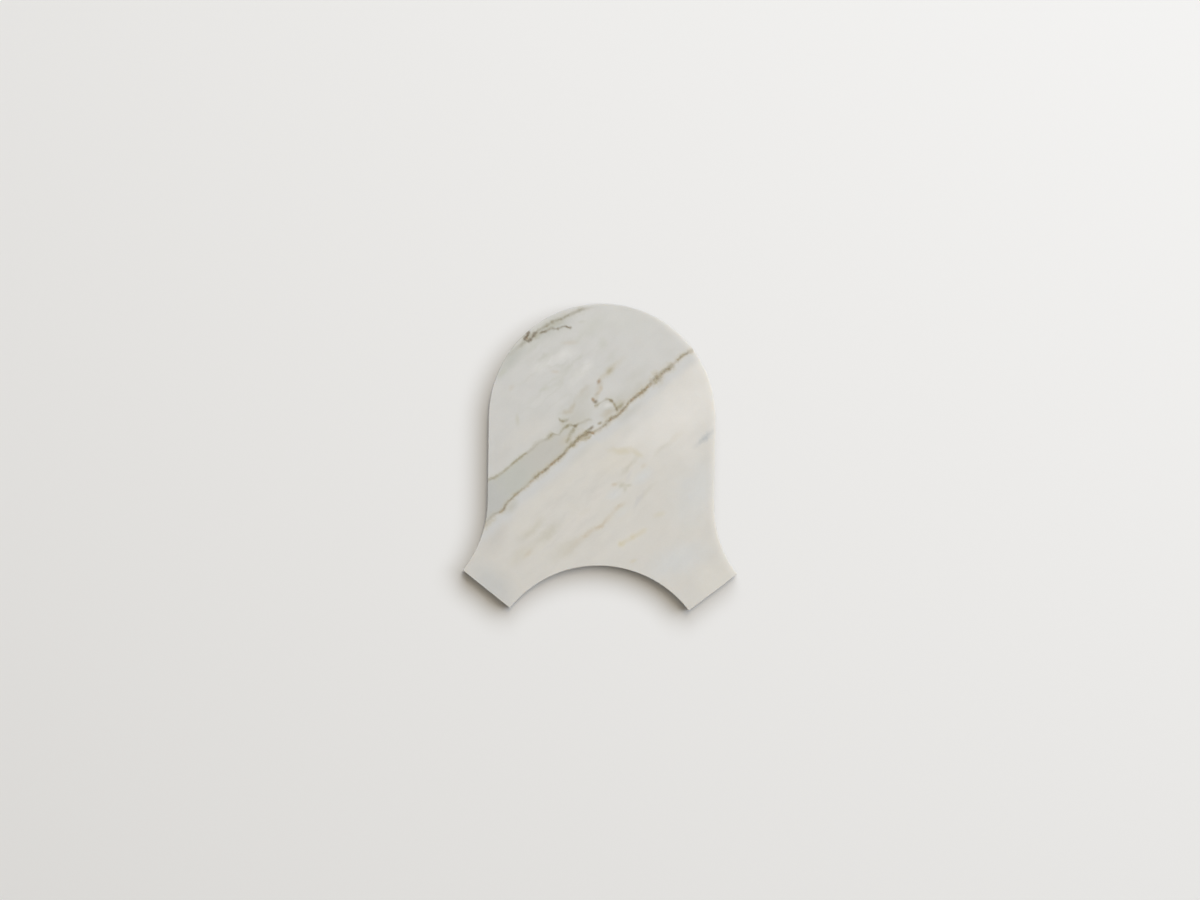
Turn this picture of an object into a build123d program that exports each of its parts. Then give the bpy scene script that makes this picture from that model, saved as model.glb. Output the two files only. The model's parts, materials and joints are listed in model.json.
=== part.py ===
from build123d import *
from math import atan2, cos, degrees, sin, sqrt
import os

# Scale-shaped marble tile, cut as one piece from a calibrated slab.
# Seen from the honed face, +Y points to the round crown and -Y to the hollow foot.
# Crown, flares and hollow share one radius, so a tile's crown fills the hollow of the tile
# above it, and a column laid the other way up slots in beside it along the sides, the flares
# and the wing ends.

# Driving dimensions, in millimetres
DOME_RADIUS = 42.0  # radius of the crown, of both flares and of the hollow
SIDE_LENGTH = 31.6  # straight flank from the crown down to the start of the flare
WING_END = 22.5  # straight cut across the tip of each wing
THICKNESS = 10.0  # calibrated slab
FACE_ARRIS = 0.4  # rounding that eases the edge of the honed face
BACK_ARRIS = 0.4  # bevel that takes the sharp edge off the sawn back

# The wing ends lie on the lines that join the hollow's centre to the centres of the flares,
# which stand two radii to either side of the tile's axis.
FLARE_X = 2 * DOME_RADIUS
CENTRE_LINE = 2 * DOME_RADIUS + WING_END
ROW_PITCH = SIDE_LENGTH + sqrt(CENTRE_LINE**2 - FLARE_X**2)
WING_ANGLE = atan2(ROW_PITCH - SIDE_LENGTH, FLARE_X)

# Heights on the tile, with the origin at the middle of its footprint
TILE_HEIGHT = DOME_RADIUS + ROW_PITCH - DOME_RADIUS * sin(WING_ANGLE)
CROWN_Y = TILE_HEIGHT / 2 - DOME_RADIUS
FLARE_Y = CROWN_Y - SIDE_LENGTH
HOLLOW_Y = CROWN_Y - ROW_PITCH

with BuildPart() as marble_tile:
    with BuildSketch():
        with BuildLine():
            wing_degrees = degrees(WING_ANGLE)
            crown = CenterArc((0, CROWN_Y), DOME_RADIUS, 0, 180)
            hollow = CenterArc((0, HOLLOW_Y), DOME_RADIUS, wing_degrees, 180 - 2 * wing_degrees)
            side = Line(crown @ 0, (DOME_RADIUS, FLARE_Y))
            flare = CenterArc((FLARE_X, FLARE_Y), DOME_RADIUS, 180, wing_degrees)
            wing_end = Line(flare @ 1, hollow @ 0)
            mirror([side, flare, wing_end], about=Plane.YZ)
        make_face()
    extrude(amount=THICKNESS)
    fillet(marble_tile.edges().group_by(Axis.Z)[-1], FACE_ARRIS)
    chamfer(marble_tile.edges().group_by(Axis.Z)[0], BACK_ARRIS)

marble_tile.part.label = "marble_tile"

os.makedirs("parts", exist_ok=True)
export_step(marble_tile.part, "parts/marble_tile.step")

wing_tip_x = FLARE_X - DOME_RADIUS * cos(WING_ANGLE)
print(f"footprint {2 * wing_tip_x:.2f} x {TILE_HEIGHT:.2f} mm, row pitch {ROW_PITCH:.2f} mm")
print(f"wing angle {wing_degrees:.2f} degrees, volume {marble_tile.part.volume / 1000:.2f} cm3")
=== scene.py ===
import json
import math

import bpy
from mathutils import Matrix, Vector


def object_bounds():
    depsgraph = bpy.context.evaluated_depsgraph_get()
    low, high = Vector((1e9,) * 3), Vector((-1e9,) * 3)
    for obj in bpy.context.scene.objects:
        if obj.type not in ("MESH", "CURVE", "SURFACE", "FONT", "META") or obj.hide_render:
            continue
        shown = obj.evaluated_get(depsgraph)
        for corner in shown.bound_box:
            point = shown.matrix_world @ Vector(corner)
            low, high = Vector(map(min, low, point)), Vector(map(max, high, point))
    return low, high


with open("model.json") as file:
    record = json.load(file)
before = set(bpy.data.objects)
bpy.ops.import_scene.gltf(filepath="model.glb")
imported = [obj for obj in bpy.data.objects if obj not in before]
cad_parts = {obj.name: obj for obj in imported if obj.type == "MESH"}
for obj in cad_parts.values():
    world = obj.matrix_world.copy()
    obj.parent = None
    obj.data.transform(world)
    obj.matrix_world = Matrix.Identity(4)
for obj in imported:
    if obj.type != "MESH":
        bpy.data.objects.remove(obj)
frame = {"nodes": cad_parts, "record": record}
cad_low, cad_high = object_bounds()

# Honed marble tile on a pale floor, seen from straight above.
# Veins, flecks and clouds are placed in millimetres on the honed face, +X across the wings and
# +Y to the crown. Below the face they run on through the thickness at a slant.

TILE = frame["nodes"]["marble_tile"]
MOUNTS = {mount["name"]: mount for mount in frame["record"]["mounts"]}
MM = 1000.0

# The tile's outline: one radius for crown, flares and hollow
TILE_RADIUS = MOUNTS["right_side"]["pos_m"][0]
FACE_HEIGHT = cad_high.z
CROWN_Y = cad_high.y - TILE_RADIUS
WING_END = MOUNTS["right_wing_end"]
WING_SLOPE = -WING_END["axis"][0] / WING_END["axis"][1]
FLARE_Y = WING_END["pos_m"][1] + TILE_RADIUS * WING_SLOPE

# How the photograph frames the tile
PHOTO_WIDTH, PHOTO_HEIGHT = 1200, 900
RADIUS_IN_PIXELS = 113.54
TILE_CENTRE_IN_PIXELS = (601.6, 456.5)
TILT = math.radians(0.84)
LENS, SENSOR = 85.0, 36.0

# Soft boxes: azimuth from +X towards +Y and angle from straight up in degrees, distance, breadth
# and length in metres, power in watts, and colour
WARM_LAMP = (1.0, 0.86, 0.62)
COOL_LAMP = (0.853, 0.909, 1.0)
SOFT_BOXES = {
    "overhead_strip": (66.0, 7.8, 2.4, 0.15, 1.3, 17.0, WARM_LAMP),
    "large_soft_box": (49.4, 32.0, 2.0, 2.86, 1.67, 47.3, COOL_LAMP),
}
AMBIENT = 0.045
FLOOR_SIZE = 8.0

# The bedding of the stone, how its veins slant through the thickness, and where the pattern lies
BEDDING = 41.0
DIP = (0.45, -0.3)
PATTERN_SHIFT = (0.27, -0.28, 0.0)

# Share of a written tone that is left to the stone itself, because the honed surface adds its gloss
UNDER_GLOSS = 0.955

# Width of the painted highlight along the lit right-hand edges, and middle of the saw's arcs on the back
PAINTED_HIGHLIGHT_REACH = 4.0
SAW_CENTRE = (-420.0, 310.0, 0.0)


def linear(level):
    """A display level from 0 to 255 as a linear value."""
    share = level / 255
    if share <= 0.04045:
        return share / 12.92
    return ((share + 0.055) / 1.055) ** 2.4


def tone(red, green, blue):
    """A colour given in display levels."""
    return (linear(red), linear(green), linear(blue), 1.0)


# Tones of the ground
COOL_WHITE = tone(204, 203, 199)
WARM_WHITE = tone(210, 207, 200)
CLOUD_WHITE = tone(214, 213, 209)
CREAM = tone(222, 219, 213)
HALO_GREY = tone(204, 204, 202)
HALO_SHADE = tone(187, 185, 176)
BAND_GREY = tone(188, 188, 184)
BAND_GREEN = tone(189, 190, 183)
BAND_WARM = tone(192, 190, 183)
EDGE_OLIVE = tone(187, 188, 181)
EDGE_SHADE = tone(170, 168, 152)
CROWN_OLIVE = tone(203, 203, 197)
SHADE_OLIVE = tone(196, 196, 187)
HAIR_OLIVE = tone(187, 187, 175)
CRACKLE_SHADE = tone(191, 189, 180)
TAN = tone(188, 181, 165)
SAND = tone(199, 196, 190)
WING_GREY = tone(196, 196, 193)
WING_CREAM = tone(215, 212, 204)
BLUE_GREY = tone(209, 209, 206)
PALE_BEIGE = tone(214, 210, 203)
STRAW = tone(215, 210, 199)
PALE_GOLD = tone(201, 197, 185)
LILAC = tone(198, 196, 194)
# Painted highlight for the lit right-hand edges
PAINTED_HIGHLIGHT_WHITE = tone(236, 233, 226)
CUT_DUST = tone(216, 214, 208)
SAW_DUST = tone(200, 198, 192)

# Tones of the veins
GOLD_STAIN = tone(187, 178, 155)
OLIVE_STAIN = tone(187, 184, 168)
BROWN = tone(148, 137, 111)
DARK_BROWN = tone(116, 103, 78)
BURNT_BROWN = tone(146, 116, 80)
MOSS_BROWN = tone(128, 121, 87)
OLIVE_BROWN = tone(146, 138, 114)
EDGE_BROWN = tone(124, 115, 90)
KNOT_BROWN = tone(98, 82, 62)
RUST = tone(186, 170, 143)
GOLD = tone(198, 188, 157)
SLATE = tone(170, 174, 175)

# Tones of the room
FLOOR_TONE = tone(235, 234, 232)
AMBIENT_TONE = tone(235, 222, 210)

# Courses of the veins: x, y, half width in millimetres, and depth of colour.
# A course that ends on the face starts or ends with no depth.
MAIN_VEIN = (
    (-50.0, -31.0, 1.3, 0.25),
    (-43.0, -25.4, 1.2, 0.25),
    (-41.3, -23.5, 1.1, 0.3),
    (-39.9, -22.1, 0.9, 0.35),
    (-38.3, -21.2, 0.7, 0.4),
    (-37.0, -20.6, 0.7, 0.7),
    (-36.2, -19.9, 0.8, 0.8),
    (-35.6, -18.7, 0.8, 0.7),
    (-34.5, -16.9, 0.7, 0.6),
    (-33.2, -15.7, 0.7, 0.65),
    (-32.2, -14.6, 0.8, 0.85),
    (-31.0, -13.6, 0.7, 0.55),
    (-29.8, -12.6, 0.7, 0.5),
    (-28.3, -11.5, 0.7, 0.4),
    (-27.4, -10.7, 0.8, 0.4),
    (-26.2, -9.2, 0.8, 0.5),
    (-24.6, -7.8, 0.9, 0.8),
    (-23.4, -6.7, 0.9, 0.85),
    (-21.5, -5.4, 0.9, 0.8),
    (-19.9, -4.0, 0.8, 0.8),
    (-18.4, -2.5, 0.8, 0.9),
    (-16.2, -0.7, 0.9, 0.95),
    (-14.6, 0.8, 0.8, 0.85),
    (-13.2, 2.5, 0.8, 0.8),
    (-12.0, 3.8, 0.8, 0.9),
    (-10.9, 4.6, 1.2, 1.0),
    (-9.8, 5.9, 1.0, 0.85),
    (-8.7, 7.1, 0.9, 0.95),
    (-7.5, 7.9, 1.1, 1.0),
    (-6.5, 8.6, 1.2, 1.0),
    (-5.0, 9.3, 0.9, 1.0),
    (-4.0, 8.9, 0.9, 0.95),
    (-2.9, 9.5, 0.8, 0.5),
    (-1.2, 10.5, 0.8, 0.45),
    (0.5, 11.8, 0.9, 0.55),
    (1.9, 13.4, 1.0, 0.75),
    (3.2, 14.5, 1.0, 0.85),
    (4.7, 15.1, 0.8, 0.9),
    (5.8, 16.0, 0.8, 0.8),
    (7.3, 17.5, 1.0, 0.75),
    (8.6, 18.9, 0.9, 0.7),
    (9.8, 20.7, 0.8, 0.7),
    (10.9, 21.6, 0.8, 0.75),
    (12.6, 23.0, 1.0, 0.9),
    (14.6, 24.6, 1.0, 1.0),
    (16.1, 26.1, 0.85, 0.9),
    (17.4, 27.3, 1.2, 0.55),
    (18.9, 28.6, 1.7, 0.75),
    (20.4, 30.2, 1.6, 0.85),
    (21.8, 31.7, 1.1, 0.7),
    (22.9, 32.7, 1.0, 0.8),
    (24.1, 33.2, 1.3, 0.8),
    (25.1, 34.1, 1.4, 0.65),
    (26.3, 35.3, 1.0, 0.25),
    (27.6, 36.6, 0.8, 0.75),
    (28.7, 37.8, 0.8, 0.75),
    (30.4, 38.7, 0.8, 0.65),
    (32.0, 39.6, 1.0, 0.75),
    (33.4, 40.8, 0.9, 0.6),
    (39.0, 45.6, 0.9, 0.5),
)
LOWER_STRAND = (
    (-10.4, 5.6, 0.6, 0.0),
    (-9.4, 6.4, 0.7, 0.5),
    (-8.2, 6.6, 0.8, 0.6),
    (-6.8, 6.7, 0.8, 0.65),
    (-5.6, 7.1, 0.8, 0.75),
    (-4.5, 7.8, 0.7, 0.65),
    (-3.8, 8.6, 0.6, 0.0),
)
START_STRAND = (
    (-46.0, -28.8, 1.1, 0.3),
    (-42.0, -25.5, 1.0, 0.3),
    (-40.6, -24.3, 0.9, 0.3),
    (-39.4, -23.6, 0.8, 0.2),
    (-38.0, -22.6, 0.7, 0.0),
)
SECOND_VEIN = (
    (-48.0, -12.6, 0.7, 0.5),
    (-42.0, -9.0, 0.7, 0.55),
    (-40.2, -8.2, 0.8, 0.75),
    (-38.4, -7.2, 0.7, 0.55),
    (-36.6, -6.0, 0.7, 0.6),
    (-34.6, -4.2, 0.6, 0.6),
    (-32.2, -2.0, 0.7, 0.9),
    (-31.0, -1.1, 0.7, 0.85),
    (-29.0, 0.6, 0.7, 0.85),
    (-27.6, 1.5, 0.8, 0.45),
    (-26.0, 2.8, 0.8, 0.35),
    (-24.6, 4.5, 1.0, 0.3),
    (-22.8, 5.8, 1.0, 0.2),
    (-20.8, 6.4, 0.9, 0.45),
    (-19.7, 7.2, 0.9, 0.85),
    (-18.8, 8.2, 0.9, 0.85),
    (-17.4, 8.3, 0.7, 0.65),
    (-16.2, 8.2, 0.7, 0.45),
    (-15.5, 9.2, 0.6, 0.5),
    (-14.4, 10.5, 0.7, 0.65),
    (-13.2, 11.3, 0.8, 0.85),
    (-12.4, 11.7, 0.7, 0.6),
    (-11.2, 11.7, 1.0, 0.9),
    (-10.4, 11.4, 1.1, 1.0),
    (-9.4, 12.0, 0.7, 0.6),
    (-8.0, 12.6, 0.8, 0.3),
    (-6.4, 13.3, 0.9, 0.25),
    (-5.2, 13.8, 0.9, 0.3),
    (-3.8, 14.4, 0.8, 0.0),
)
LINK_VEIN = (
    (-13.6, 4.8, 0.7, 0.0),
    (-13.3, 5.5, 0.9, 0.65),
    (-12.7, 6.4, 1.1, 0.85),
    (-12.4, 7.4, 0.9, 0.55),
    (-12.0, 8.5, 0.9, 0.6),
    (-11.3, 9.4, 1.0, 0.8),
    (-10.7, 10.3, 1.0, 0.75),
    (-10.3, 11.2, 0.8, 0.0),
)
HOOK_VEIN = (
    (-16.6, 14.4, 0.8, 0.0),
    (-16.1, 13.8, 0.9, 0.55),
    (-15.5, 13.3, 0.9, 0.8),
    (-14.8, 13.1, 1.0, 0.85),
    (-13.9, 13.2, 0.9, 0.7),
    (-13.2, 13.5, 0.8, 0.45),
    (-12.2, 14.2, 0.7, 0.0),
)
ARCH_VEIN = (
    (-3.5, 18.8, 0.6, 0.0),
    (-2.9, 19.1, 0.8, 0.6),
    (-2.1, 19.4, 0.9, 0.65),
    (-1.2, 19.9, 0.6, 0.4),
    (-0.3, 20.5, 0.6, 0.25),
    (0.6, 21.2, 0.7, 0.35),
    (1.5, 21.5, 0.7, 0.5),
    (2.4, 21.3, 0.8, 0.8),
    (3.1, 21.0, 0.9, 0.9),
    (3.6, 20.4, 1.0, 0.7),
    (4.0, 19.7, 1.2, 0.6),
    (4.5, 19.0, 1.2, 0.65),
    (4.9, 18.0, 1.3, 0.8),
    (5.5, 17.4, 1.0, 0.6),
    (6.2, 16.8, 0.7, 0.0),
)
SIDE_STRAND = (
    (4.4, 19.0, 0.6, 0.0),
    (5.2, 18.7, 0.9, 0.5),
    (6.0, 18.7, 0.9, 0.55),
    (7.0, 19.1, 0.9, 0.45),
    (8.0, 19.6, 0.7, 0.0),
)
CROWN_WISP = (
    (-1.4, 28.6, 1.0, 0.0),
    (-0.6, 29.6, 1.1, 0.3),
    (0.6, 30.6, 1.1, 0.3),
    (1.5, 31.2, 1.2, 0.45),
    (2.2, 31.9, 1.2, 0.5),
    (3.0, 32.8, 1.2, 0.35),
    (4.0, 33.8, 1.2, 0.25),
    (5.5, 35.3, 1.2, 0.2),
    (7.0, 36.6, 1.1, 0.12),
    (9.0, 38.4, 1.0, 0.0),
)
KNOT_VEIN = (
    (-29.8, 42.4, 0.7, 0.0),
    (-29.3, 43.4, 0.8, 0.8),
    (-28.6, 44.3, 0.9, 0.9),
    (-28.1, 45.2, 0.9, 0.95),
    (-27.8, 45.9, 0.7, 0.8),
    (-27.5, 46.6, 0.6, 0.0),
)
KNOT_HEEL = (
    (-29.8, 43.3, 0.7, 0.0),
    (-29.1, 42.9, 0.8, 0.75),
    (-28.5, 42.6, 0.9, 0.9),
    (-27.9, 42.7, 0.9, 0.95),
    (-27.2, 43.2, 0.9, 0.9),
    (-26.5, 44.0, 0.8, 0.7),
    (-25.8, 45.0, 0.9, 0.8),
    (-25.2, 45.7, 0.8, 0.5),
    (-24.4, 46.5, 0.7, 0.0),
)
EDGE_VEIN = (
    (-40.0, 33.0, 0.9, 0.1),
    (-33.0, 39.2, 0.9, 0.15),
    (-30.0, 41.7, 1.0, 0.4),
    (-27.4, 44.2, 0.9, 0.45),
    (-25.7, 45.1, 0.9, 0.5),
    (-24.3, 46.6, 0.8, 0.5),
    (-23.0, 47.3, 0.8, 0.45),
    (-22.0, 47.9, 0.8, 0.45),
    (-21.2, 48.4, 0.9, 0.65),
    (-20.3, 49.0, 0.8, 0.4),
    (-19.4, 49.7, 0.9, 0.65),
    (-18.4, 50.1, 0.9, 0.45),
    (-17.2, 50.6, 0.9, 0.5),
    (-16.3, 50.8, 0.9, 0.7),
    (-15.2, 51.4, 0.9, 0.45),
    (-13.8, 52.1, 0.9, 0.65),
    (-12.6, 52.7, 0.9, 0.45),
    (-11.2, 53.3, 0.9, 0.45),
    (-9.7, 54.0, 1.0, 0.5),
    (-8.8, 54.4, 1.0, 0.6),
    (-6.9, 54.9, 0.9, 0.25),
    (-2.0, 56.0, 0.9, 0.0),
)
INNER_STRAND = (
    (-24.4, 45.4, 0.6, 0.0),
    (-23.6, 45.6, 0.7, 0.6),
    (-22.9, 45.9, 0.8, 0.85),
    (-22.0, 46.2, 0.8, 0.75),
    (-21.1, 46.6, 0.7, 0.5),
    (-20.2, 47.2, 0.8, 0.4),
    (-19.0, 47.4, 1.1, 0.5),
    (-17.9, 47.3, 0.7, 0.4),
    (-17.1, 47.3, 0.7, 0.75),
    (-16.3, 47.7, 0.6, 0.4),
    (-15.5, 48.1, 0.6, 0.65),
    (-14.6, 48.2, 0.7, 0.6),
    (-13.8, 48.1, 0.8, 0.85),
    (-13.0, 47.8, 0.7, 0.9),
    (-12.3, 47.9, 0.6, 0.7),
    (-11.8, 48.1, 0.5, 0.0),
)
ORANGE_VEIN = (
    (-15.0, -38.0, 1.8, 0.0),
    (-12.0, -34.9, 1.7, 0.15),
    (-9.3, -31.9, 1.5, 0.2),
    (-7.3, -30.2, 1.4, 0.25),
    (-5.7, -28.9, 1.2, 0.45),
    (-4.1, -27.5, 1.2, 0.4),
    (-2.4, -26.5, 1.2, 0.35),
    (-0.7, -25.7, 1.1, 0.6),
    (0.4, -25.1, 1.0, 0.65),
    (1.1, -24.0, 1.0, 0.4),
    (2.6, -22.3, 1.2, 0.25),
    (4.3, -20.1, 1.2, 0.2),
    (5.7, -18.7, 1.1, 0.4),
    (6.9, -17.8, 1.1, 0.45),
    (7.8, -17.3, 1.0, 0.25),
    (9.5, -16.3, 0.9, 0.0),
)
GOLD_STREAK = (
    (6.0, -33.0, 1.0, 0.0),
    (7.5, -32.0, 1.4, 0.7),
    (9.0, -31.1, 1.2, 0.4),
    (10.5, -30.3, 1.2, 0.35),
    (11.8, -29.4, 1.4, 0.7),
    (13.3, -28.5, 1.2, 0.4),
    (15.3, -27.2, 1.3, 0.4),
    (17.5, -26.0, 1.0, 0.0),
)
BLUE_STREAK = (
    (33.0, 3.4, 1.0, 0.0),
    (35.4, 5.4, 1.2, 0.3),
    (37.1, 7.0, 1.4, 0.65),
    (38.1, 7.8, 1.5, 0.75),
    (39.6, 9.4, 1.3, 0.45),
    (43.0, 12.4, 1.2, 0.2),
)

# Each vein's bearing in degrees, its stain, its core and its course, from faint to strong
VEINS = (
    (48.0, OLIVE_STAIN, GOLD_STAIN, CROWN_WISP),
    (42.0, PALE_GOLD, RUST, ORANGE_VEIN),
    (32.0, STRAW, GOLD, GOLD_STREAK),
    (43.0, HALO_GREY, SLATE, BLUE_STREAK),
    (43.0, OLIVE_STAIN, GOLD_STAIN, START_STRAND),
    (0.0, OLIVE_STAIN, OLIVE_BROWN, HOOK_VEIN),
    (10.0, OLIVE_STAIN, OLIVE_BROWN, SIDE_STRAND),
    (0.0, OLIVE_STAIN, BROWN, ARCH_VEIN),
    (65.0, OLIVE_STAIN, OLIVE_BROWN, LINK_VEIN),
    (35.0, OLIVE_STAIN, EDGE_BROWN, EDGE_VEIN),
    (20.0, EDGE_OLIVE, DARK_BROWN, INNER_STRAND),
    (35.0, EDGE_SHADE, KNOT_BROWN, KNOT_HEEL),
    (60.0, EDGE_SHADE, KNOT_BROWN, KNOT_VEIN),
    (20.0, GOLD_STAIN, BROWN, LOWER_STRAND),
)

# Soft areas of the ground: tone, strength, x, y, bearing, and reach along and across it
PATCHES = (
    (CROWN_OLIVE, 0.5, 6.0, 51.0, 0.0, 20.0, 8.0),
    (SHADE_OLIVE, 0.5, -5.0, 48.0, 50.0, 9.0, 5.0),
    (SHADE_OLIVE, 0.7, -0.5, 42.0, 70.0, 3.5, 2.4),
    (SHADE_OLIVE, 0.4, -9.0, 44.5, 60.0, 4.5, 2.0),
    (SHADE_OLIVE, 0.4, 3.0, 37.5, 50.0, 5.0, 2.0),
    (EDGE_OLIVE, 0.8, -20.0, 47.6, 30.0, 13.0, 5.0),
    (EDGE_OLIVE, 0.9, -34.0, 36.4, 52.0, 14.0, 4.4),
    (EDGE_SHADE, 0.8, -25.2, 44.7, 42.0, 4.4, 2.0),
    (EDGE_SHADE, 0.6, -19.3, 48.6, 32.0, 8.0, 2.1),
    (CLOUD_WHITE, 1.0, -14.5, 37.6, 28.0, 8.0, 3.6),
    (CLOUD_WHITE, 0.9, -22.5, 33.6, 30.0, 6.5, 3.2),
    (CLOUD_WHITE, 0.9, -6.0, 34.0, 65.0, 5.5, 2.8),
    (CLOUD_WHITE, 0.7, -10.0, 29.5, 40.0, 7.0, 2.8),
    (HAIR_OLIVE, 0.5, -22.3, 36.8, 35.0, 4.5, 1.3),
    (HAIR_OLIVE, 0.3, -12.4, 33.6, 48.0, 4.5, 1.2),
    (HAIR_OLIVE, 0.3, -18.0, 26.2, 42.0, 6.0, 1.3),
    (HAIR_OLIVE, 0.4, -26.0, 40.5, 40.0, 5.5, 1.6),
    (HAIR_OLIVE, 0.3, -9.0, 37.0, 60.0, 3.5, 1.2),
    (STRAW, 0.3, -27.0, 9.0, 30.0, 15.0, 7.0),
    (SAND, 0.5, -37.0, 0.0, 80.0, 9.0, 6.0),
    (CRACKLE_SHADE, 0.8, -10.5, 13.0, 47.0, 13.0, 7.0),
    (CRACKLE_SHADE, 0.8, 4.5, 19.5, 46.0, 12.0, 5.0),
    (CRACKLE_SHADE, 0.7, 12.5, 25.4, 45.0, 8.0, 2.8),
    (CRACKLE_SHADE, 0.6, -7.0, 22.2, 45.0, 7.5, 4.0),
    (CRACKLE_SHADE, 0.4, 12.0, 30.5, 45.0, 9.0, 4.0),
    (CLOUD_WHITE, 0.9, 2.0, 19.0, 40.0, 2.8, 2.0),
    (TAN, 0.8, -13.4, 16.6, 10.0, 3.8, 1.5),
    (TAN, 0.8, -11.6, 18.8, 75.0, 3.6, 1.5),
    (TAN, 0.4, -7.4, 24.4, 42.0, 6.5, 1.7),
    (TAN, 0.5, -2.8, 21.6, 70.0, 3.0, 2.0),
    (TAN, 0.5, -1.4, 26.4, 80.0, 4.6, 2.0),
    (TAN, 0.6, 2.3, 32.2, 50.0, 4.4, 2.0),
    (TAN, 0.7, 2.3, 16.3, 15.0, 4.0, 1.5),
    (TAN, 0.6, 6.3, 20.1, 30.0, 3.4, 1.9),
    (OLIVE_STAIN, 0.9, 5.6, 18.8, 55.0, 3.2, 2.0),
    (SAND, 1.0, 21.5, 27.6, 43.0, 10.0, 3.2),
    (HALO_GREY, 0.6, 17.0, 17.0, BEDDING, 16.0, 4.0),
    (SAND, 0.8, -40.0, -30.0, 60.0, 11.0, 8.0),
    (WING_GREY, 0.9, -40.0, -48.0, -40.0, 18.0, 9.0),
    (PALE_GOLD, 0.9, -25.5, -27.2, 42.0, 9.5, 2.8),
    (PALE_GOLD, 0.9, -20.2, -28.8, 42.0, 10.0, 2.6),
    (PALE_GOLD, 0.6, -13.0, -34.0, 42.0, 10.0, 4.5),
    (PALE_GOLD, 0.7, -29.0, -36.0, 45.0, 9.0, 4.0),
    (PALE_BEIGE, 0.9, -9.5, -24.0, 44.0, 14.0, 5.0),
    (PALE_BEIGE, 0.9, -1.5, -14.5, 60.0, 7.0, 3.4),
    (CREAM, 1.0, 30.0, 17.0, BEDDING, 36.0, 16.0),
    (CREAM, 0.8, 35.0, 33.0, 65.0, 9.0, 5.0),
    (CREAM, 0.6, 11.5, 7.0, BEDDING, 10.0, 4.5),
    (CREAM, 0.5, 33.0, 2.0, 60.0, 9.0, 5.0),
    (WARM_WHITE, 0.7, 22.0, 0.5, BEDDING, 14.0, 4.5),
    (STRAW, 0.7, 6.0, -1.0, 30.0, 15.0, 7.0),
    (STRAW, 0.5, 27.5, 8.2, 32.0, 4.5, 1.8),
    (GOLD, 0.45, 6.8, 2.7, 0.0, 7.5, 2.1),
    (GOLD, 0.4, 12.8, 1.3, -30.0, 3.2, 1.9),
    (PALE_GOLD, 0.9, 9.8, -3.0, 47.0, 7.0, 1.7),
    (PALE_GOLD, 0.7, 7.6, -10.2, 0.0, 5.0, 1.5),
    (PALE_GOLD, 0.5, 22.5, 3.8, 42.0, 8.0, 1.4),
    (PALE_GOLD, 0.5, 16.5, -12.5, 47.0, 8.0, 1.4),
    (BLUE_GREY, 0.9, 35.0, -12.0, 65.0, 20.0, 12.0),
    (BLUE_GREY, 1.0, 28.0, -38.0, 20.0, 20.0, 9.0),
    (BLUE_GREY, 1.0, 15.2, -6.6, BEDDING, 6.0, 3.2),
    (BLUE_GREY, 1.0, 4.6, -13.6, BEDDING, 4.4, 2.8),
    (BLUE_GREY, 0.8, 7.0, -19.7, BEDDING, 5.0, 2.2),
    (LILAC, 0.6, 13.4, -16.0, 60.0, 6.0, 1.5),
    (LILAC, 0.5, 10.0, -6.5, 60.0, 3.5, 1.6),
    (WING_CREAM, 1.0, 43.0, -45.0, 38.0, 14.0, 11.0),
)

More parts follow.
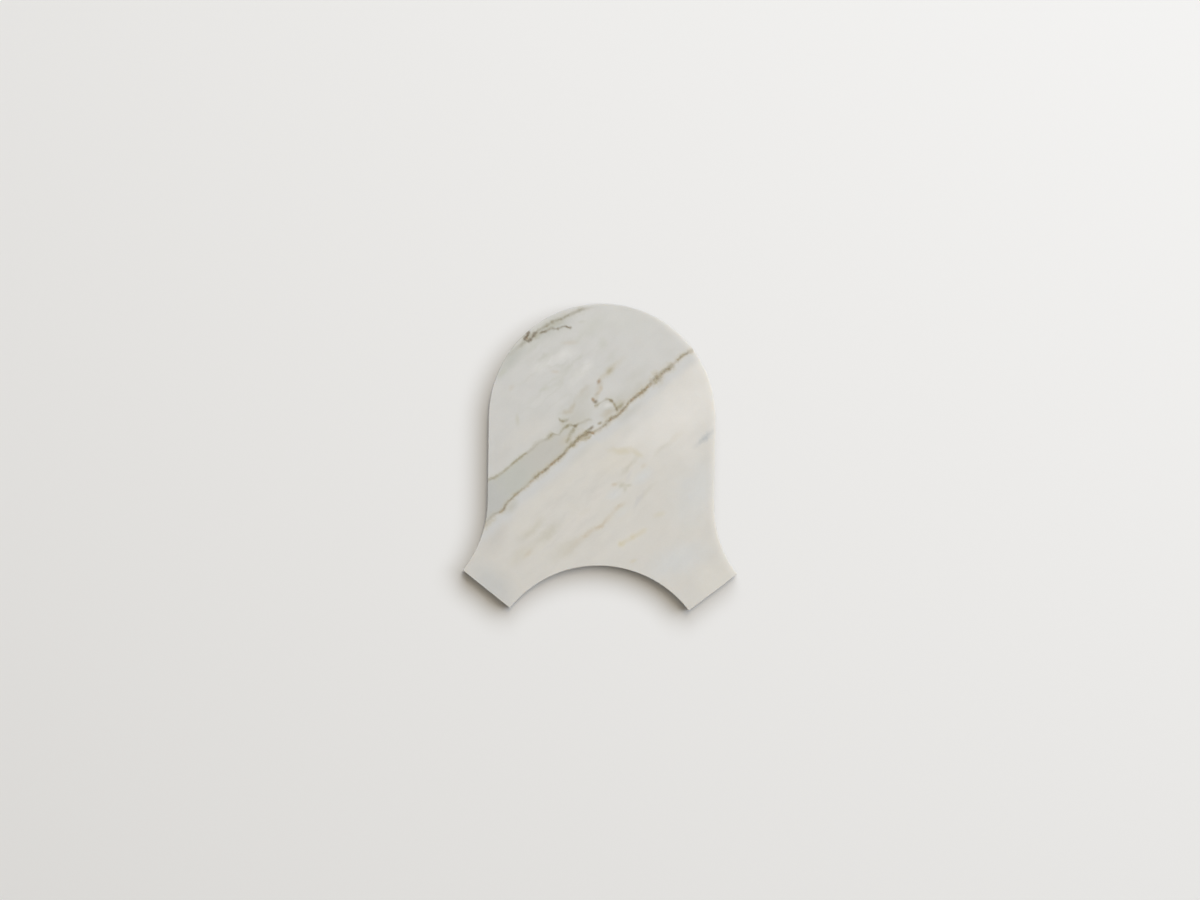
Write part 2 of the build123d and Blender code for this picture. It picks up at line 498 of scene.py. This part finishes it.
# Small spots, laid over the veins: tone, strength, x, y, bearing, and reach along and across it
FLECKS = (
    (HALO_SHADE, 0.8, -33.2, -18.8, 50.0, 5.0, 2.6),
    (HALO_SHADE, 0.3, -7.5, 1.6, BEDDING, 11.0, 2.6),
    (HALO_SHADE, 0.5, 10.0, 16.8, BEDDING, 9.0, 2.4),
    (TAN, 0.45, -13.8, 6.2, BEDDING, 4.5, 2.4),
    (BROWN, 0.8, -6.2, 8.0, 25.0, 2.6, 1.1),
    (DARK_BROWN, 0.7, -5.0, 9.2, 20.0, 1.7, 0.9),
    (DARK_BROWN, 0.8, -4.2, 10.8, 45.0, 1.7, 1.0),
    (MOSS_BROWN, 0.6, -5.3, 10.1, 35.0, 1.6, 0.8),
    (BROWN, 0.8, -1.1, 12.6, 25.0, 1.5, 0.9),
    (OLIVE_BROWN, 0.5, 6.2, 18.6, 50.0, 2.4, 1.2),
    (OLIVE_BROWN, 0.4, 7.0, 19.8, 30.0, 1.8, 1.0),
    (DARK_BROWN, 0.7, -10.3, 11.4, 60.0, 1.2, 1.0),
    (MOSS_BROWN, 0.5, -13.0, 11.4, 20.0, 1.3, 0.9),
    (BURNT_BROWN, 0.6, -3.7, 8.9, 20.0, 1.2, 0.8),
    (BURNT_BROWN, 0.3, 10.9, 21.7, 45.0, 1.2, 0.9),
    (DARK_BROWN, 0.6, 3.1, 20.9, -20.0, 1.3, 0.9),
    (BROWN, 0.5, 4.3, 19.6, 100.0, 1.3, 0.9),
    (DARK_BROWN, 0.5, 5.0, 18.0, 60.0, 1.3, 0.9),
    (BURNT_BROWN, 0.8, -3.7, 21.2, 120.0, 1.4, 1.1),
    (DARK_BROWN, 0.8, -2.8, 20.5, 30.0, 1.4, 1.0),
    (BROWN, 0.3, -2.3, 23.4, 30.0, 1.5, 1.0),
    (RUST, 0.4, -1.5, 24.2, 45.0, 1.8, 1.1),
    (RUST, 0.5, -0.8, 25.6, 90.0, 1.7, 1.1),
    (BURNT_BROWN, 0.7, -1.7, 28.0, 70.0, 1.7, 1.1),
    (OLIVE_BROWN, 0.4, 2.2, 32.0, 50.0, 2.2, 1.1),
    (BURNT_BROWN, 0.5, -28.5, 43.6, 0.0, 0.8, 0.7),
    (OLIVE_STAIN, 0.5, -31.6, 13.4, 95.0, 3.4, 1.3),
    (RUST, 0.2, -34.0, 25.2, 60.0, 2.0, 1.4),
    (RUST, 0.3, -17.8, 31.4, 0.0, 2.6, 1.1),
    (RUST, 0.25, -12.5, 42.2, 5.0, 5.0, 1.4),
    (HAIR_OLIVE, 0.5, -21.8, 24.9, 24.0, 3.6, 1.2),
    (HAIR_OLIVE, 0.5, -8.4, 50.0, 10.0, 2.2, 1.0),
    (HAIR_OLIVE, 0.7, -37.6, 30.6, 45.0, 3.6, 1.6),
    (RUST, 0.25, 15.2, -3.0, 40.0, 1.8, 1.3),
    (RUST, 0.45, 4.6, -10.0, 10.0, 1.8, 1.1),
    (OLIVE_STAIN, 0.6, 7.2, -10.4, 30.0, 1.8, 1.1),
    (OLIVE_STAIN, 0.6, 8.6, -11.6, 80.0, 1.8, 1.1),
    (OLIVE_STAIN, 0.6, 10.0, -10.2, 10.0, 1.7, 1.0),
    (GOLD, 0.3, 21.5, -20.8, 21.0, 3.6, 1.7),
    (GOLD, 0.35, 12.0, -38.2, 26.0, 2.2, 1.1),
    (RUST, 0.3, -27.0, -36.0, 45.0, 3.6, 1.3),
)

# Where hair veins cross the white stone, and where golden haze lies: x, y, bearing and reaches
HAIR_ZONE = (-18.0, 30.0, 45.0, 30.0, 20.0)
HAZE_ZONE = (-8.0, -20.0, BEDDING, 42.0, 21.0)


class Nodes:
    """Short ways to add and link nodes in one tree."""

    def __init__(self, tree):
        self.tree = tree

    def put(self, node, inputs):
        for key, value in inputs.items():
            if isinstance(value, bpy.types.NodeSocket):
                self.tree.links.new(value, node.inputs[key])
            else:
                node.inputs[key].default_value = value
        return node

    def add(self, kind, inputs, **settings):
        node = self.tree.nodes.new("ShaderNode" + kind)
        for name, value in settings.items():
            setattr(node, name, value)
        return self.put(node, inputs)

    def math(self, operation, *values, clamp=False):
        return self.add("Math", dict(enumerate(values)), operation=operation, use_clamp=clamp).outputs[0]

    def vector(self, operation, *values):
        return self.add("VectorMath", dict(enumerate(values)), operation=operation).outputs["Vector"]

    def scaled(self, vector, factor):
        return self.add("VectorMath", {0: vector, "Scale": factor}, operation="SCALE").outputs["Vector"]

    def dot(self, vector, direction):
        return self.add("VectorMath", {0: vector, 1: direction}, operation="DOT_PRODUCT").outputs["Value"]

    def length(self, vector):
        return self.add("VectorMath", {0: vector}, operation="LENGTH").outputs["Value"]

    def parts(self, vector):
        return self.add("SeparateXYZ", {0: vector}).outputs

    def joined(self, *values):
        return self.add("CombineXYZ", dict(enumerate(values))).outputs[0]

    def ramp(self, value, low, high, to_low=0.0, to_high=1.0):
        """A smooth step of a value from one level to another."""
        inputs = {"Value": value, "From Min": low, "From Max": high, "To Min": to_low, "To Max": to_high}
        return self.add("MapRange", inputs, interpolation_type="SMOOTHSTEP").outputs["Result"]

    def mix(self, factor, first, second):
        return self.add("Mix", {0: factor, 6: first, 7: second}, data_type="RGBA").outputs[2]

    def tint(self, colour, mask, strength, second):
        """A colour with a second one laid over it through a mask."""
        return self.mix(self.math("MULTIPLY", mask, strength), colour, second)

    def noise(self, vector, scale, detail=2.0):
        return self.add("TexNoise", {"Vector": vector, "Scale": scale, "Detail": detail}).outputs

    def group(self, tree, inputs):
        return self.put(self.add("Group", {}, node_tree=tree), inputs).outputs

    def curve(self, value, points):
        """A value read off a curve through given points."""
        node = self.add("FloatCurve", {"Value": value})
        mapping = node.mapping
        mapping.use_clip = False
        mapping.extend = "HORIZONTAL"
        curve = mapping.curves[0]
        while len(curve.points) < len(points):
            curve.points.new(0.0, 0.0)
        for place, point in zip(points, curve.points):
            point.location = place
            point.handle_type = "AUTO_CLAMPED"
        mapping.update()
        return node.outputs[0]


def new_group(name, inputs, outputs):
    """A shader node group with named sockets: its tree, nodes, inputs and outputs."""
    tree = bpy.data.node_groups.new(name, "ShaderNodeTree")
    for socket, kind in inputs.items():
        tree.interface.new_socket(socket, in_out="INPUT", socket_type="NodeSocket" + kind)
    for socket in outputs:
        tree.interface.new_socket(socket, in_out="OUTPUT", socket_type="NodeSocketFloat")
    source = tree.nodes.new("NodeGroupInput")
    sink = tree.nodes.new("NodeGroupOutput")
    return tree, Nodes(tree), source.outputs, sink


def make_vein_group():
    """How strongly a vein's core and the stain beside it show at an offset from its course."""
    sockets = {"Offset": "Float", "Width": "Float", "Depth": "Float"}
    tree, nodes, source, sink = new_group("vein_section", sockets, ("Core", "Stain"))
    reach = nodes.math("DIVIDE", nodes.math("ABSOLUTE", source["Offset"]), source["Width"])
    core = nodes.math("MULTIPLY", nodes.ramp(reach, 1.15, 0.0), source["Depth"], clamp=True)
    stain = nodes.math("MULTIPLY", nodes.ramp(reach, 2.3, 0.3, 0.0, 0.65), source["Depth"], clamp=True)
    nodes.put(sink, {"Core": core, "Stain": stain})
    return tree


def make_patch_group():
    """A soft oval on the face, laid along a bearing."""
    sockets = {"Point": "Vector", "Centre": "Vector", "Bearing": "Float", "Along": "Float", "Across": "Float"}
    tree, nodes, source, sink = new_group("stone_patch", sockets, ("Mask",))
    from_centre = nodes.vector("SUBTRACT", source["Point"], source["Centre"])
    turn = nodes.math("MULTIPLY", nodes.math("RADIANS", source["Bearing"]), -1.0)
    turning = nodes.add("VectorRotate", {"Vector": from_centre, "Angle": turn}, rotation_type="Z_AXIS")
    turned = turning.outputs[0]
    along = nodes.math("DIVIDE", nodes.dot(turned, (1.0, 0.0, 0.0)), source["Along"])
    across = nodes.math("DIVIDE", nodes.dot(turned, (0.0, 1.0, 0.0)), source["Across"])
    nodes.put(sink, {"Mask": nodes.ramp(nodes.length(nodes.joined(along, across)), 1.0, 0.0)})
    return tree


VEIN_SECTION = make_vein_group()
STONE_PATCH = make_patch_group()


def bearing_axes(bearing):
    turn = math.radians(bearing)
    along = Vector((math.cos(turn), math.sin(turn), 0.0))
    across = Vector((-math.sin(turn), math.cos(turn), 0.0))
    return along, across


def shifted(nodes, point, scale, reach):
    """A point moved by noise of a scale, by up to about a reach in millimetres."""
    wander = nodes.vector("SUBTRACT", nodes.noise(point, scale)["Color"], (0.5, 0.5, 0.5))
    return nodes.vector("ADD", point, nodes.scaled(wander, 2 * reach))


def stone_point(nodes, place):
    """The place on the honed face that the stone at this depth belongs to, in millimetres."""
    depth = nodes.math("SUBTRACT", FACE_HEIGHT * MM, nodes.parts(place)[2])
    slant = nodes.scaled(Vector((DIP[0], DIP[1], 1.0)), depth)
    return nodes.vector("SUBTRACT", nodes.vector("ADD", place, slant), PATTERN_SHIFT)


def vein(nodes, point, bearing, course, wear, swell):
    """Offset from a vein's course, and the masks of its core and its stain."""
    along_axis, across_axis = bearing_axes(bearing)
    places = [Vector((x, y, 0.0)) for x, y, width, depth in course]
    stations = [place.dot(along_axis) for place in places]
    along = nodes.dot(point, along_axis)
    line = nodes.curve(along, [(s, place.dot(across_axis)) for s, place in zip(stations, places)])
    width = nodes.curve(along, [(s, step[2]) for s, step in zip(stations, course)])
    depth = nodes.curve(along, [(s, step[3]) for s, step in zip(stations, course)])
    width = nodes.math("MULTIPLY", width, swell)
    depth = nodes.math("MULTIPLY", depth, wear)
    offset = nodes.math("SUBTRACT", nodes.dot(point, across_axis), line)
    return offset, nodes.group(VEIN_SECTION, {"Offset": offset, "Width": width, "Depth": depth})


def patch_mask(nodes, point, x, y, bearing, along, across):
    inputs = {"Point": point, "Centre": (x, y, 0.0), "Bearing": bearing, "Along": along, "Across": across}
    return nodes.group(STONE_PATCH, inputs)["Mask"]


def bedded(nodes, point, stretch):
    """A point with the stone drawn out along its bedding."""
    along_axis, across_axis = bearing_axes(BEDDING)
    along = nodes.math("DIVIDE", nodes.dot(point, along_axis), stretch)
    return nodes.joined(along, nodes.dot(point, across_axis))


def make_ground(nodes, point, drifted, main_offset, second_offset):
    """The white stone between the veins, with its zones and soft areas."""
    below = nodes.ramp(main_offset, 0.5, -0.5)
    ground = nodes.mix(below, COOL_WHITE, WARM_WHITE)
    for colour, strength, *oval in PATCHES:
        ground = nodes.tint(ground, patch_mask(nodes, drifted, *oval), strength, colour)

    halo = nodes.math("MULTIPLY", nodes.ramp(main_offset, 0.0, -0.8), nodes.ramp(main_offset, -6.5, -2.5))
    ground = nodes.tint(ground, halo, 0.9, HALO_GREY)

    along = nodes.dot(point, bearing_axes(BEDDING)[0])
    band = nodes.math("MULTIPLY", nodes.ramp(main_offset, -0.2, 0.3), nodes.ramp(second_offset, 0.3, -0.5))
    band = nodes.math("MULTIPLY", band, nodes.ramp(along, 2.0, -9.0))
    band_tone = nodes.mix(nodes.ramp(along, -40.0, -32.0), BAND_GREY, BAND_GREEN)
    band_tone = nodes.mix(nodes.ramp(along, -28.0, -18.0), band_tone, BAND_WARM)
    return nodes.mix(band, ground, band_tone)


def mottle(nodes, ground, point, drifted):
    """The ground with its hair veins, haze, clouds and crystals."""
    hair_zone = patch_mask(nodes, drifted, *HAIR_ZONE)
    haze_zone = patch_mask(nodes, drifted, *HAZE_ZONE)
    crossing = nodes.noise(bedded(nodes, drifted, 3.0), 0.15, 2.0)["Fac"]
    hairs = nodes.ramp(nodes.math("ABSOLUTE", nodes.math("SUBTRACT", crossing, 0.5)), 0.06, 0.0)
    ground = nodes.tint(ground, nodes.math("MULTIPLY", hairs, hair_zone), 0.25, HAIR_OLIVE)

    streaks = nodes.noise(bedded(nodes, drifted, 5.0), 0.3, 3.0)["Fac"]
    haze = nodes.math("MULTIPLY", nodes.ramp(streaks, 0.5, 0.7), haze_zone)
    ground = nodes.tint(ground, haze, 0.7, PALE_GOLD)

    clouds = nodes.noise(drifted, 0.17, 4.0)["Fac"]
    crystals = nodes.noise(point, 1.7, 2.0)["Fac"]
    cloudy = nodes.ramp(hair_zone, 0.0, 0.7, 0.08, 0.14)
    streaky = nodes.ramp(haze_zone, 0.0, 0.7, 0.06, 0.25)
    light = nodes.math("MULTIPLY", nodes.math("SUBTRACT", clouds, 0.5), cloudy)
    light = nodes.math("MULTIPLY_ADD", nodes.math("SUBTRACT", streaks, 0.5), streaky, light)
    light = nodes.math("MULTIPLY_ADD", nodes.math("SUBTRACT", crystals, 0.5), 0.06, light)
    return nodes.scaled(ground, nodes.math("ADD", light, UNDER_GLOSS)), crystals


def main_vein_tone(nodes, point):
    """Brown that turns darker, burnt or mossy along the main vein."""
    grains = nodes.parts(nodes.noise(point, 0.6)["Color"])
    colour = nodes.mix(nodes.ramp(grains[0], 0.4, 0.62), BROWN, DARK_BROWN)
    colour = nodes.tint(colour, nodes.ramp(grains[1], 0.52, 0.66), 0.5, BURNT_BROWN)
    return nodes.tint(colour, nodes.ramp(grains[1], 0.48, 0.34), 0.5, MOSS_BROWN)


def painted_highlight_mask(nodes, place):
    """A painted highlight along the right-hand edges of the tile, on the side the lamps light."""
    radius = TILE_RADIUS * MM
    x, y, z = nodes.parts(place)
    over_crown = nodes.math("MAXIMUM", nodes.math("SUBTRACT", y, CROWN_Y * MM), 0.0)
    under_flare = nodes.math("MINIMUM", nodes.math("SUBTRACT", y, FLARE_Y * MM), 0.0)
    to_crown = nodes.math("SUBTRACT", radius, nodes.length(nodes.joined(x, over_crown)))
    to_crown = nodes.math("MULTIPLY_ADD", under_flare, -2.0, to_crown)
    from_flare_x = nodes.math("SUBTRACT", x, 2 * radius)
    to_flare = nodes.math("SUBTRACT", nodes.length(nodes.joined(from_flare_x, under_flare)), radius)
    highlight = nodes.ramp(nodes.math("MINIMUM", to_crown, to_flare), PAINTED_HIGHLIGHT_REACH, 0.0)
    return nodes.math("MULTIPLY", nodes.math("POWER", highlight, 2.0), nodes.ramp(x, 8.0, 28.0))


def honed_normal(nodes, normal, facing):
    """The surface direction, which leans to the face where the honing rolls over the arris."""
    lean = nodes.ramp(facing, 0.05, 0.35, 0.0, 1.6)
    leaning = nodes.vector("NORMALIZE", nodes.vector("ADD", normal, nodes.joined(0.0, 0.0, lean)))
    spaces = {"vector_type": "NORMAL", "convert_from": "OBJECT", "convert_to": "WORLD"}
    return nodes.add("VectorTransform", {"Vector": leaning}, **spaces).outputs[0]


def tool_marks(nodes, place, side, back):
    """Height of the upright marks on the cut sides and of the saw's arcs on the back."""
    upright = nodes.noise(nodes.vector("MULTIPLY", place, (1.0, 1.0, 0.08)), 1.6, 3.0)["Fac"]
    depth = nodes.ramp(nodes.parts(place)[2], FACE_HEIGHT * MM, 0.0, 0.25, 1.0)
    cut = nodes.math("MULTIPLY", nodes.math("MULTIPLY", upright, depth), side)
    arc = nodes.length(nodes.vector("SUBTRACT", place, SAW_CENTRE))
    sawn = nodes.math("MULTIPLY", nodes.noise(nodes.joined(arc), 0.8, 3.0)["Fac"], back)
    return nodes.math("ADD", cut, sawn)


def make_marble():
    """Honed white marble with brown veins. Its cut sides and sawn back show the tools."""
    material = bpy.data.materials.new("honed_marble")
    material.use_nodes = True
    tree = material.node_tree
    nodes = Nodes(tree)
    surface = tree.nodes["Principled BSDF"]
    seen = nodes.add("TexCoord", {}).outputs
    place = nodes.scaled(seen["Object"], MM)
    point = stone_point(nodes, place)
    shaken = shifted(nodes, point, 1.4, 0.2)
    drifted = shifted(nodes, shifted(nodes, point, 0.15, 1.4), 0.5, 0.8)

    grain = nodes.parts(nodes.noise(point, 0.9)["Color"])
    wear = nodes.ramp(grain[0], 0.3, 0.7, 0.7, 1.1)
    swell = nodes.ramp(grain[1], 0.3, 0.7, 0.8, 1.25)
    main_offset, main_section = vein(nodes, shaken, BEDDING, MAIN_VEIN, wear, swell)
    second_offset, second_section = vein(nodes, shaken, BEDDING, SECOND_VEIN, wear, swell)
    ground = make_ground(nodes, point, drifted, main_offset, second_offset)
    colour, crystals = mottle(nodes, ground, point, drifted)

    for bearing, stain, core, course in VEINS:
        section = vein(nodes, shaken, bearing, course, wear, swell)[1]
        colour = nodes.mix(section["Stain"], colour, stain)
        colour = nodes.mix(section["Core"], colour, core)
    colour = nodes.mix(second_section["Stain"], colour, OLIVE_STAIN)
    colour = nodes.mix(second_section["Core"], colour, OLIVE_BROWN)
    colour = nodes.mix(main_section["Stain"], colour, GOLD_STAIN)
    colour = nodes.mix(main_section["Core"], colour, main_vein_tone(nodes, point))
    for fleck, strength, *oval in FLECKS:
        colour = nodes.tint(colour, patch_mask(nodes, shaken, *oval), strength, fleck)

    facing = nodes.parts(seen["Normal"])[2]
    side = nodes.ramp(nodes.math("ABSOLUTE", facing), 0.8, 0.3)
    back = nodes.ramp(facing, -0.6, -0.95)
    marks = tool_marks(nodes, place, side, back)
    # Painted highlight: the right-hand edges, on the lamps' side, are lightened in the colour
    colour = nodes.tint(colour, painted_highlight_mask(nodes, place), 0.36, PAINTED_HIGHLIGHT_WHITE)
    colour = nodes.tint(colour, side, 0.35, CUT_DUST)
    colour = nodes.tint(colour, back, 0.5, SAW_DUST)

    rough = nodes.math("MULTIPLY_ADD", crystals, 0.12, 0.42)
    rough = nodes.math("MULTIPLY_ADD", side, 0.18, rough)
    rough = nodes.math("MULTIPLY_ADD", back, 0.26, rough)
    height = nodes.math("MULTIPLY_ADD", crystals, 0.03, marks)
    relief = {"Strength": 0.6, "Distance": 0.0002, "Height": height}
    relief["Normal"] = honed_normal(nodes, seen["Normal"], facing)
    bump = nodes.add("Bump", relief)

    nodes.put(surface, {"Base Color": colour, "Roughness": rough, "Normal": bump.outputs[0]})
    surface.inputs["Specular IOR Level"].default_value = 0.35
    surface.inputs["Subsurface Weight"].default_value = 0.4
    surface.inputs["Subsurface Radius"].default_value = (1.0, 0.85, 0.7)
    surface.inputs["Subsurface Scale"].default_value = 0.002
    return material


def make_floor():
    bpy.ops.mesh.primitive_plane_add(size=FLOOR_SIZE, location=(0.0, 0.0, cad_low.z))
    floor = bpy.context.object
    floor.name = "floor"
    material = bpy.data.materials.new("floor_paper")
    material.use_nodes = True
    surface = material.node_tree.nodes["Principled BSDF"]
    surface.inputs["Base Color"].default_value = FLOOR_TONE
    surface.inputs["Roughness"].default_value = 0.9
    surface.inputs["Specular IOR Level"].default_value = 0.0
    floor.data.materials.append(material)


def add_soft_box(name, azimuth, from_zenith, distance, breadth, length, power, colour):
    """An oval lamp that faces the tile, with its length in the upright plane through the tile."""
    turn, lean = math.radians(azimuth), math.radians(from_zenith)
    away = Vector((math.sin(lean) * math.cos(turn), math.sin(lean) * math.sin(turn), math.cos(lean)))
    data = bpy.data.lights.new(name, "AREA")
    data.shape = "ELLIPSE"
    data.size = breadth
    data.size_y = length
    data.energy = power
    data.color = colour
    light = bpy.data.objects.new(name, data)
    light.location = away * distance
    light.rotation_euler = (-away).to_track_quat("-Z", "Y").to_euler()
    bpy.context.scene.collection.objects.link(light)


def make_light():
    """The soft boxes, and a room that is dim and warm to light by but pale to look at."""
    for name, box in SOFT_BOXES.items():
        add_soft_box(name, *box)
    world = bpy.data.worlds.new("studio")
    world.use_nodes = True
    nodes = Nodes(world.node_tree)
    backdrop = world.node_tree.nodes["Background"]
    path = nodes.add("LightPath", {}).outputs
    seen = nodes.math("MAXIMUM", path["Is Camera Ray"], path["Is Glossy Ray"])
    strength = nodes.add("MapRange", {"Value": seen, "To Min": AMBIENT, "To Max": 1.0}).outputs["Result"]
    nodes.put(backdrop, {"Color": nodes.mix(seen, AMBIENT_TONE, FLOOR_TONE), "Strength": strength})
    bpy.context.scene.world = world


def make_camera():
    """Straight above the tile, turned a little, so that the face is as large as in the photograph."""
    metres_per_pixel = TILE_RADIUS / RADIUS_IN_PIXELS
    distance = LENS / SENSOR * PHOTO_WIDTH * metres_per_pixel
    right = Vector((math.cos(TILT), math.sin(TILT), 0.0))
    up = Vector((-math.sin(TILT), math.cos(TILT), 0.0))
    right_of_tile = PHOTO_WIDTH / 2 - TILE_CENTRE_IN_PIXELS[0]
    above_tile = TILE_CENTRE_IN_PIXELS[1] - PHOTO_HEIGHT / 2
    data = bpy.data.cameras.new("camera")
    data.lens = LENS
    data.sensor_width = SENSOR
    camera = bpy.data.objects.new("camera", data)
    camera.location = (right * right_of_tile + up * above_tile) * metres_per_pixel
    camera.location.z = FACE_HEIGHT + distance
    camera.rotation_euler = (0.0, 0.0, TILT)
    bpy.context.scene.collection.objects.link(camera)
    bpy.context.scene.camera = camera


bpy.context.scene.view_settings.view_transform = "Standard"
TILE.data.materials.clear()
TILE.data.materials.append(make_marble())
# The floor beside the lit edges stays as plain as in the photograph, without light off the cut sides
TILE.visible_diffuse = False
make_floor()
make_light()
make_camera()
